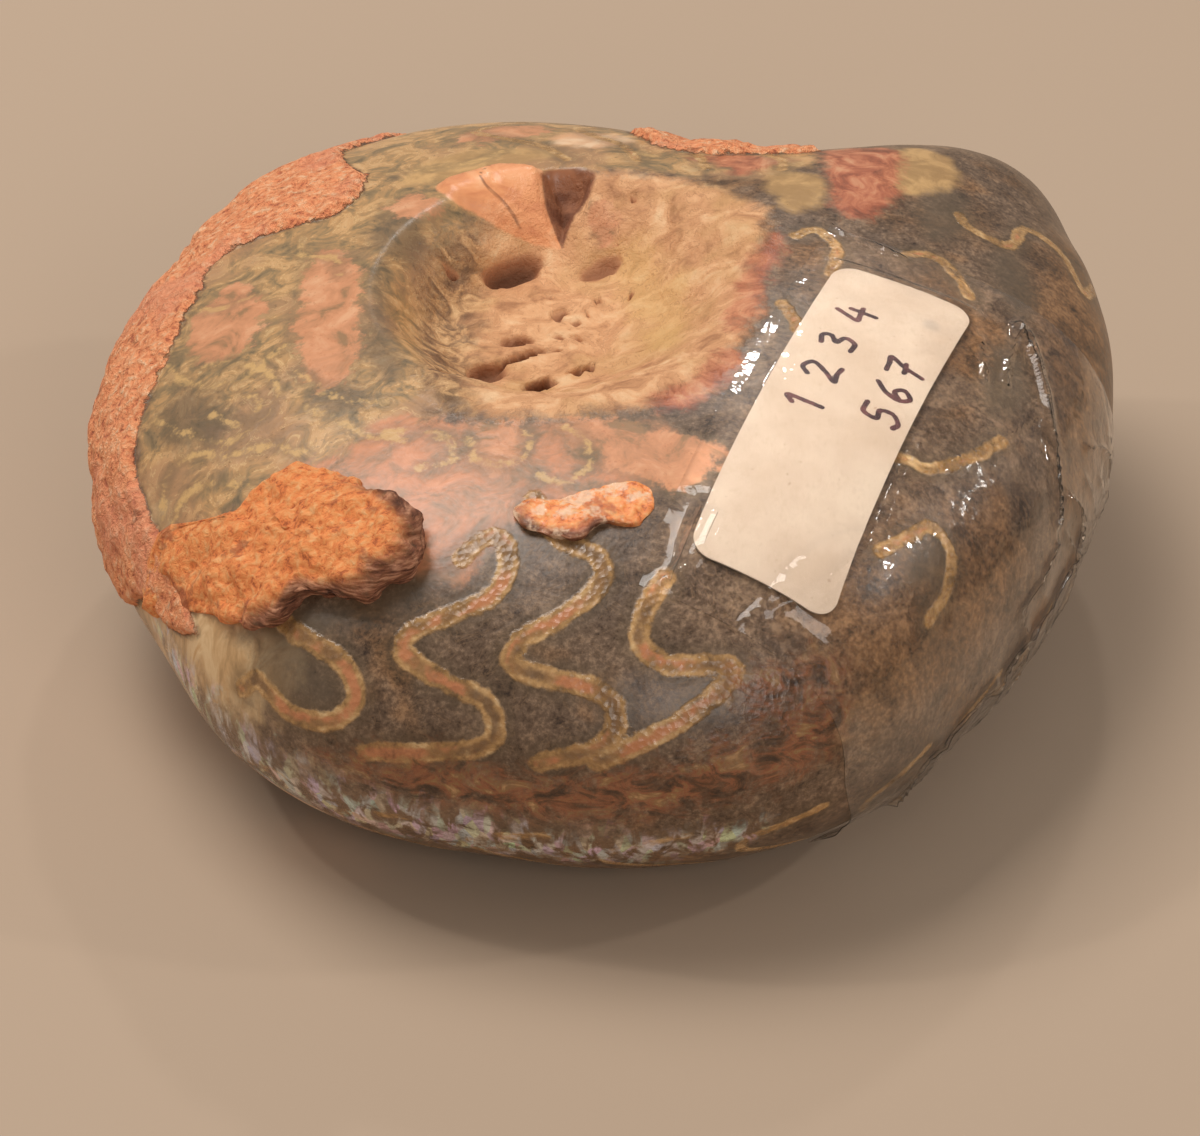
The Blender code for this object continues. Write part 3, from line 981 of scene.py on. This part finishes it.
    # Polished stone is glossy, rock is not, and veins of calcite have glittering facets.
    rock_share = p.math("MAXIMUM", crust_share, p.math("MULTIPLY", hollow_share, 0.8))
    vein_share = p.math("MAXIMUM", suture_share, p.math("MAXIMUM", nacre_share, ember_share))
    polish = p.between(grain, 0.18, 0.5)
    polish = p.between(p.math("MULTIPLY", vein_share, p.band(grain, 0.5, 0.6)), polish, 0.12)
    roughness = p.between(rock_share, polish, 0.85)
    facets = p.math("MULTIPLY", p.cells(0.55, place=p.moved(4, 4, 8)), p.between(vein_share, 0.01, 0.09))
    polish_relief = p.math("ADD", p.math("MULTIPLY", clouds, 0.06), facets)
    rock_relief = p.math("MULTIPLY", crust_grain, p.between(crust_share, 0.4, 0.9))
    height = p.between(rock_share, polish_relief, rock_relief)
    return p.finish(colour, roughness, height)


stone.data.materials.append(stone_finish())
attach(stone, "root")
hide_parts("fossil")
print("stone nodes:", len(stone.data.materials[0].node_tree.nodes))

# %% [markdown]
# ## Red rock left on the flank
#
# Two pieces of rock still stand proud of the polish: a big lump at the front left with a broken edge,
# painted dark partly as its layered rock and partly as shade, and a small glassy crust beside it. Each
# is a sphere pressed flat: its upper half is pulled to the outline and onto the coil, with a steep brow
# on the broken side, and its lower half hides in the stone. Displace modifiers break up the surface.

# %% Lump helper
LUMP_ROOT = -0.7
UNDERCUT = 0.09


def add_lump(name, outline_mm, height_mm, brow_direction, segments, rings):
    """A piece of rock on the upper flank, inside an outline given in mm from the coil's axis."""
    bpy.ops.object.select_all(action="DESELECT")
    bpy.ops.mesh.primitive_uv_sphere_add(segments=segments, ring_count=rings, radius=1)
    lump = bpy.context.object
    lump.name = name
    unit = vertex_points(lump)
    middle = np.mean(outline_mm, axis=0)
    edge = curve_through(np.array(outline_mm, float), True) - middle
    turn = np.arctan2(edge[:, 1], edge[:, 0])
    order = np.argsort(turn)
    angle = np.arctan2(unit[:, 1], unit[:, 0])
    reach = np.interp(angle, turn[order], np.hypot(*edge[order].T), period=2 * math.pi)
    share = np.hypot(unit[:, 0], unit[:, 1])
    forward = share * (np.cos(angle) * brow_direction[0] + np.sin(angle) * brow_direction[1])
    brow = smooth_step(-0.1, 0.5, forward)
    low = 1 - smooth_step(0.02, 0.3, unit[:, 2])
    reach = reach * share * (1 - UNDERCUT * brow * low)
    x, y = (middle[:, None] + reach * np.stack([np.cos(angle), np.sin(angle)])) * MM
    azimuth = np.arctan2(y, x)
    latitude = latitude_at(azimuth, np.hypot(x, y))
    tall = 0.3 + 0.7 * smooth_step(-0.7, 0.7, forward)
    boxy = np.abs(unit[:, 2]) ** 0.45
    lift = np.where(unit[:, 2] > 0, height_mm * tall, LUMP_ROOT) * boxy * MM
    set_points(lump, lay_down(coil_points(azimuth, latitude, lift)))
    # Where the broken brow is painted dark: its layered rock, with painted shade.
    broken_face_and_shade = smooth_step(0.7, 0.9, share) * brow
    lump.data.attributes.new("broken_face_and_shade", "FLOAT", "POINT").data.foreach_set("value", broken_face_and_shade.astype(np.float32))
    return lump


# %% The two pieces of rock
BIG_LUMP = (
    (-36.3, -19), (-34, -18.6), (-31.4, -20), (-29.2, -20.8), (-26.6, -19.3), (-24, -18.9), (-21.6, -19.6),
    (-19.6, -21.2), (-18.4, -23), (-16, -24.6), (-14.2, -27), (-13, -29.6), (-14, -31.8), (-16, -32),
    (-17.6, -33.2), (-21, -32.2), (-23.2, -31.2), (-25, -32.2), (-27.4, -31.4), (-29, -29.6),
    (-32.4, -26), (-35, -22.4),
)
SMALL_CRUST = (
    (-7.2, -27.4), (-5.8, -25.9), (-3.5, -25.8), (-1.4, -25.3), (1.6, -24.4), (3.6, -25.3), (3.7, -27.4),
    (2.3, -28.9), (-0.2, -28.7), (-1.9, -30), (-3.9, -29.8), (-6, -28.9),
)

big_lump = add_lump("red_rock_lump", BIG_LUMP, 3.2, (0.6, -0.8), 220, 130)
roughen(big_lump, "slabs", 5.5, 2.6)
roughen(big_lump, "lumps", 2.2, 1.1)
roughen(big_lump, "grains", 0.9, 0.3)
small_crust = add_lump("small_glassy_crust", SMALL_CRUST, 1.0, (-0.3, -0.95), 130, 72)
roughen(small_crust, "lumps", 2.2, 0.8)
roughen(small_crust, "grains", 0.9, 0.3)
for lump in (big_lump, small_crust):
    lump.select_set(True)
bpy.ops.object.shade_smooth()
bpy.ops.object.select_all(action="DESELECT")
print("rock faces:", len(big_lump.data.polygons), len(small_crust.data.polygons))

# %% Red rock finish
def rock_finish(name, wet):
    """Granular red rock. Wet is how glassy its surface is, from 0 to 1."""
    p = Paint(name)
    grain = p.noise(0.7, 6, 0.68, 0.4)
    clouds = p.noise(3.4, 4, 0.6, 0.5, place=p.moved(4, 2, 6))
    colour = p.ramp(
        grain,
        (0.34, srgb(190, 100, 56)), (0.44, srgb(248, 144, 80)), (0.54, srgb(255, 166, 98)),
        (0.7, srgb(255, 196, 136)),
    )
    colour = p.mix(p.math("MULTIPLY", p.band(clouds, 0.54, 0.64), 0.65), colour, srgb(176, 98, 66))
    # The broken brow is painted dark in layers: its layered rock, with painted shade on a face turned from
    # the light.
    layers = p.noise(0.5, 4, 0.6, place=p.moved(1, 1, 1, (0.25, 0.25, 1.6)))
    broken_face_and_shade = p.ramp(
        layers, (0.36, srgb(52, 30, 22)), (0.5, srgb(128, 80, 58)), (0.66, srgb(206, 150, 118))
    )
    colour = p.mix(p.math("MULTIPLY", p.mark("broken_face_and_shade"), 0.9), colour, broken_face_and_shade)
    # Glassy rock gets pale blotches: painted highlights.
    pale = p.band(p.noise(1.4, 4, 0.6, place=p.moved(7, 7, 7)), 0.5, 0.62)
    colour = p.mix(p.math("MULTIPLY", pale, wet * 0.7), colour, srgb(250, 214, 180))
    roughness = p.between(p.band(clouds, 0.4, 0.6), 0.85 - 0.66 * wet, 0.9 - 0.45 * wet)
    height = p.math("MULTIPLY", grain, 0.5 - 0.32 * wet)
    return p.finish(colour, roughness, height)


big_lump.data.materials.append(rock_finish("dry red rock", 0))
small_crust.data.materials.append(rock_finish("glassy red rock", 1))
for lump in (big_lump, small_crust):
    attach(lump, "root")
    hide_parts("fossil")

# %% [markdown]
# ## Paper label
#
# The label is a strip of thin cream paper with round corners. It lies straight across the flank, so
# a place on it is a distance along the tape's heading and a distance across it, both in the coil's
# own plane. The grid is fine enough to carry the distance to each pen stroke, so the ink is as
# sharp as drawn. The numbers are plain ones.

# %% Sheets on the coil
TAPE_HEADING = math.radians(-20)
LABEL_START = 16.5 * MM
LABEL_WIDTH = 11.5 * MM
LABEL_SIDES = (-27 * MM, 10 * MM)
LABEL_CORNER = 0.16
LABEL_LIFT = 0.3 * MM
LABEL_THICKNESS = 0.16 * MM


def rounded(u, v, share):
    """Pulls the four corners of the square from -1 to 1 in, to quarter circles on the real sheet."""
    length_share = share * LABEL_WIDTH / (LABEL_SIDES[1] - LABEL_SIDES[0])
    a = np.clip((np.abs(u) - 1 + 2 * share) / (2 * share), 0, 1)
    b = np.clip((np.abs(v) - 1 + 2 * length_share) / (2 * length_share), 0, 1)
    u = u - np.sign(u) * 2 * share * a * (1 - np.sqrt(1 - b * b / 2))
    v = v - np.sign(v) * 2 * length_share * b * (1 - np.sqrt(1 - a * a / 2))
    return u, v


def add_grid(name, along_count, across_count):
    """A flat grid from -1 to 1, and the coordinates of its vertices."""
    bpy.ops.object.select_all(action="DESELECT")
    bpy.ops.mesh.primitive_grid_add(x_subdivisions=along_count, y_subdivisions=across_count, size=2)
    grid = bpy.context.object
    grid.name = name
    u, v, _ = vertex_points(grid).T
    return grid, u, v


def on_flank(along, across):
    """The azimuth and latitude of places given along the tape's heading and across it."""
    azimuth = TAPE_HEADING + np.arctan2(across, along)
    return azimuth, latitude_at(azimuth, np.hypot(along, across))


def thicken(piece, thickness):
    """Points the faces outwards and gives the sheet its thickness, for good."""
    bpy.context.view_layer.objects.active = piece
    bpy.ops.object.mode_set(mode="EDIT")
    bpy.ops.mesh.select_all(action="SELECT")
    bpy.ops.mesh.normals_make_consistent(inside=False)
    bpy.ops.mesh.select_all(action="DESELECT")
    bpy.ops.object.mode_set(mode="OBJECT")
    solidify = piece.modifiers.new("thickness", "SOLIDIFY")
    solidify.thickness = thickness
    solidify.offset = 1
    bpy.ops.object.modifier_apply(modifier=solidify.name)
    bpy.ops.object.shade_smooth_by_angle(angle=math.radians(40))
    bpy.ops.object.select_all(action="DESELECT")


# %% Pen strokes
# Each digit is drawn in a box 1 wide and 1.5 high, as one or two strokes.
DIGITS = {
    "1": (((0.25, 1.2), (0.6, 1.5), (0.56, 0.8), (0.5, 0)),),
    "2": (((0.05, 1.2), (0.4, 1.5), (0.85, 1.2), (0.5, 0.6), (0.02, 0.06), (0.5, 0.1), (0.95, 0.02)),),
    "3": (((0.1, 1.35), (0.6, 1.45), (0.72, 1.1), (0.35, 0.8), (0.8, 0.55), (0.6, 0.08), (0.05, 0.1)),),
    "4": (
        ((0.45, 1.5), (0.2, 0.95), (0.05, 0.5), (0.5, 0.52), (1.0, 0.55)),
        ((0.75, 1.0), (0.7, 0.5), (0.66, -0.1)),
    ),
    "5": (((0.9, 1.45), (0.3, 1.42), (0.2, 0.85), (0.7, 0.85), (0.8, 0.35), (0.4, 0.0), (0.05, 0.12)),),
    "6": (((0.75, 1.45), (0.3, 1.0), (0.12, 0.4), (0.45, 0.02), (0.82, 0.35), (0.55, 0.68), (0.18, 0.42)),),
    "7": (((0.05, 1.4), (0.5, 1.42), (0.95, 1.45), (0.6, 0.8), (0.4, 0)), ((0.25, 0.72), (0.85, 0.8))),
}
DIGIT_SIZE = 1.95
PEN_HALF_WIDTH = 0.21
# Each line of numbers is its digits, then where it starts across and along the label and its step.
WRITING = (("1234", -10, 21.4, 4.25), ("567", -8.2, 27.1, 3.1))


def ink_distance(along, across):
    """How far places on the label are from the nearest pen stroke, in mm, negative in the ink."""
    strokes = []
    for digits, first_across, base_along, step in WRITING:
        for place, digit in enumerate(digits):
            for stroke in DIGITS[digit]:
                drawn = curve_through(np.array(stroke), False) * DIGIT_SIZE
                start = first_across + place * step
                strokes.append(np.stack([start + drawn[:, 0], base_along - drawn[:, 1]], axis=-1))
    tree = kdtree.KDTree(sum(len(stroke) for stroke in strokes))
    for index, point in enumerate(np.concatenate(strokes)):
        tree.insert((*point, 0), index)
    tree.balance()
    found = [tree.find((a, b, 0))[2] for a, b in zip(across / MM, along / MM)]
    return np.array(found) - PEN_HALF_WIDTH


# %% Label sheet
SCUFF_PLACE = (25.6, 5.8)
SCUFF_RISE = 0.1 * MM

label, u, v = add_grid("label_sheet", 76, 240)
u, v = rounded(u, v, LABEL_CORNER)
label_across = LABEL_SIDES[0] + (LABEL_SIDES[1] - LABEL_SIDES[0]) * (v + 1) / 2
label_along = LABEL_START + LABEL_WIDTH * (u + 1) / 2
scuff = np.hypot(label_along / MM - SCUFF_PLACE[0], label_across / MM - SCUFF_PLACE[1])
label_lift = LABEL_LIFT + SCUFF_RISE * np.exp(-((scuff / 0.8) ** 2))
set_points(label, lay_down(coil_points(*on_flank(label_along, label_across), label_lift)))
for name, values in (("ink", ink_distance(label_along, label_across)), ("scuff", scuff)):
    attribute = label.data.attributes.new(name, "FLOAT", "POINT")
    attribute.data.foreach_set("value", values.astype(np.float32))
thicken(label, LABEL_THICKNESS)


def paper_finish():
    p = Paint("cream label paper")
    fibres = p.noise(0.35, 4, 0.7, place=p.moved(0, 0, 0, (1, 0.4, 1)))
    stain = p.noise(6, 4, 0.55, place=p.moved(2, 9, 4))
    paper = p.ramp(
        stain, (0.35, srgb(206, 181, 158)), (0.5, srgb(213, 189, 167)), (0.65, srgb(220, 198, 176))
    )
    paper = p.mix(p.math("MULTIPLY", p.band(fibres, 0.5, 0.7), 0.3), paper, srgb(190, 164, 138))
    specks = p.band(p.noise(0.5, 2, 0.5, place=p.moved(5, 5, 1)), 0.7, 0.76)
    paper = p.mix(p.math("MULTIPLY", specks, 0.5), paper, srgb(168, 136, 112))
    rubbed = p.math("ADD", p.mark("scuff"), p.math("MULTIPLY", stain, 0.8))
    paper = p.mix(p.math("MULTIPLY", p.band(rubbed, 1.4, 0.7), 0.45), paper, srgb(172, 158, 146))
    ragged = p.math("MULTIPLY", p.math("SUBTRACT", fibres, 0.5), 0.18)
    tone = p.mix(p.band(p.noise(1.5, 3, 0.6), 0.4, 0.62), srgb(52, 24, 30), srgb(104, 58, 58))
    colour = p.mix(p.band(p.math("ADD", p.mark("ink"), ragged), 0.05, -0.03), paper, tone)
    return p.finish(colour, 0.55, p.math("MULTIPLY", fibres, 0.02))


label.data.materials.append(paper_finish())
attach(label, "root")
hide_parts("paper_label")
print("label faces:", len(label.data.polygons))

# %% [markdown]
# ## Clear tape
#
# The tape holds the label and wraps over the rim, where flat film can't follow the double curve. So
# it tents beside the label, pleats along the rim and creases where it was folded back. Each crease
# is a line on the coil with a height and a width. The film is a thin closed shell of clear plastic
# that casts no shadow, and its creases catch the small lamps.

# %% Creases
TAPE_START = 14 * MM
TAPE_SIDES = (-31 * MM, 15.5 * MM)
TAPE_END_LATITUDE = math.radians(-34)
TAPE_PINCH = 0.2
TAPE_LIFT = 0.3 * MM
TAPE_THICKNESS = 0.06 * MM
TENT_LIFT = 0.42 * MM
TENT_REACH = 1.3
# Each crease is its height and half width in mm, then its places in degrees.
CREASES = (
    (0.5, 0.3, ((29, 66), (23, 64), (19, 61), (14, 58))),
    (0.9, 0.3, ((285, 52), (282, 48), (279, 43), (276, 41))),
    (0.7, 0.25, ((287, 51), (283, 46), (278, 41))),
    (0.45, 0.45, ((286, 33), (290, 36), (296, 40), (302, 41), (307, 39))),
    (0.4, 0.3, ((290, 34), (296, 35), (302, 37), (308, 38))),
    (1.0, 0.3, ((0, 41), (353, 35), (345, 28), (339, 18), (336, 12))),
    (0.6, 0.35, ((1, 40), (353, 41), (346, 40))),
    (0.6, 0.3, ((0, 38), (350, 31), (343, 24))),
    (0.5, 0.35, ((354, 47), (348, 45), (343, 43))),
    (0.45, 0.3, ((325, 41), (331, 38), (337, 35), (346, 31))),
    (0.9, 0.45, ((341, 12), (342, 4), (338, 0), (332, -1), (325, -2), (318, -6))),
    (0.5, 0.35, ((335, 8), (330, 6), (325, 5))),
    (0.9, 0.5, ((303, -20), (305, -9), (311, -6), (318, -4))),
    (0.5, 0.3, ((350, 14), (354, 8), (356, 2), (356, -8))),
)
# Each pleat runs down over the rim: its azimuth and its upper end in degrees, and its height in
# mm, of which PLEAT_SHARE is used.
PLEATS = (
    (306, -2, 0.6), (312, 3, 0.35), (319, -6, 0.5), (324, 4, 0.7), (329, 8, 0.4), (333, -4, 0.6),
    (338, 6, 0.8),
    (343, -2, 0.5), (347, 9, 0.6), (352, 2, 0.7), (358, 5, 0.5), (2, -6, 0.5), (7, 8, 0.6),
)
PLEAT_SHARE = 0.6
PLEAT_LEAN = 3
PLEAT_HALF_WIDTH = 0.5


def strip_azimuth(across, latitude):
    """The azimuth where a line at a distance across from the tape's middle line reaches a latitude."""
    azimuth = np.full(np.shape(latitude), TAPE_HEADING)
    for _ in range(12):
        share = across / coil_radius(azimuth, latitude)
        azimuth = TAPE_HEADING + np.arcsin(np.clip(share, -1, 1))
    return azimuth


def crease(height_mm, half_width_mm, places):
    """How far one sharp fold lifts each vertex of the film, in metres."""
    gap = mark_distance(film_azimuth, film_latitude, lines=((0, places),))
    return height_mm * MM * np.exp(-np.abs(gap) / half_width_mm)


# %% Film sheet
film, u, v = add_grid("clear_film", 190, 150)
film_across = TAPE_SIDES[0] + (TAPE_SIDES[1] - TAPE_SIDES[0]) * (v + 1) / 2
_, start = on_flank(np.full(len(u), TAPE_START), film_across)
film_latitude = start + (TAPE_END_LATITUDE - start) * (u + 1) / 2
pinch = TAPE_PINCH * smooth_step(0, 1, film_latitude / TAPE_END_LATITUDE)
film_across = film_across + (sum(TAPE_SIDES) / 2 - film_across) * pinch
film_azimuth = strip_azimuth(film_across, film_latitude)
film_along = coil_radius(film_azimuth, film_latitude) * np.cos(film_azimuth - TAPE_HEADING)

past_start = np.maximum(LABEL_START - film_along, film_along - LABEL_START - LABEL_WIDTH)
past_side = np.maximum(LABEL_SIDES[0] - film_across, film_across - LABEL_SIDES[1])
from_label = np.hypot(np.maximum(past_start, 0), np.maximum(past_side, 0)) / MM
lift = TAPE_LIFT + TENT_LIFT * (1 - smooth_step(0.2, TENT_REACH, from_label))
for height, half_width, places in CREASES:
    lift += crease(height, half_width, places)
for azimuth, upper_end, height in PLEATS:
    line = ((azimuth, upper_end), (azimuth + PLEAT_LEAN, -12), (azimuth, -36))
    lift += crease(PLEAT_SHARE * height, PLEAT_HALF_WIDTH, line)
set_points(film, lay_down(coil_points(film_azimuth, film_latitude, lift)))
roughen(film, "crumple", 4.5, 0.3)
thicken(film, TAPE_THICKNESS)


def film_finish():
    p = Paint("clear tape film")
    waves = p.noise(2.5, 3, 0.5)
    scratches = p.noise(0.6, 2, 0.5, place=p.moved(0, 0, 0, (1, 0.2, 1)))
    height = p.math("ADD", p.math("MULTIPLY", waves, 0.12), p.math("MULTIPLY", scratches, 0.006))
    return p.finish((0.97, 0.96, 0.94, 1), 0.06, height, Transmission_Weight=1.0, IOR=1.45)


film.data.materials.append(film_finish())
film.visible_shadow = False
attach(film, "root")
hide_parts("clear_tape")
print("film faces:", len(film.data.polygons), "highest fold in mm:", round(float(lift.max()) / MM, 2))
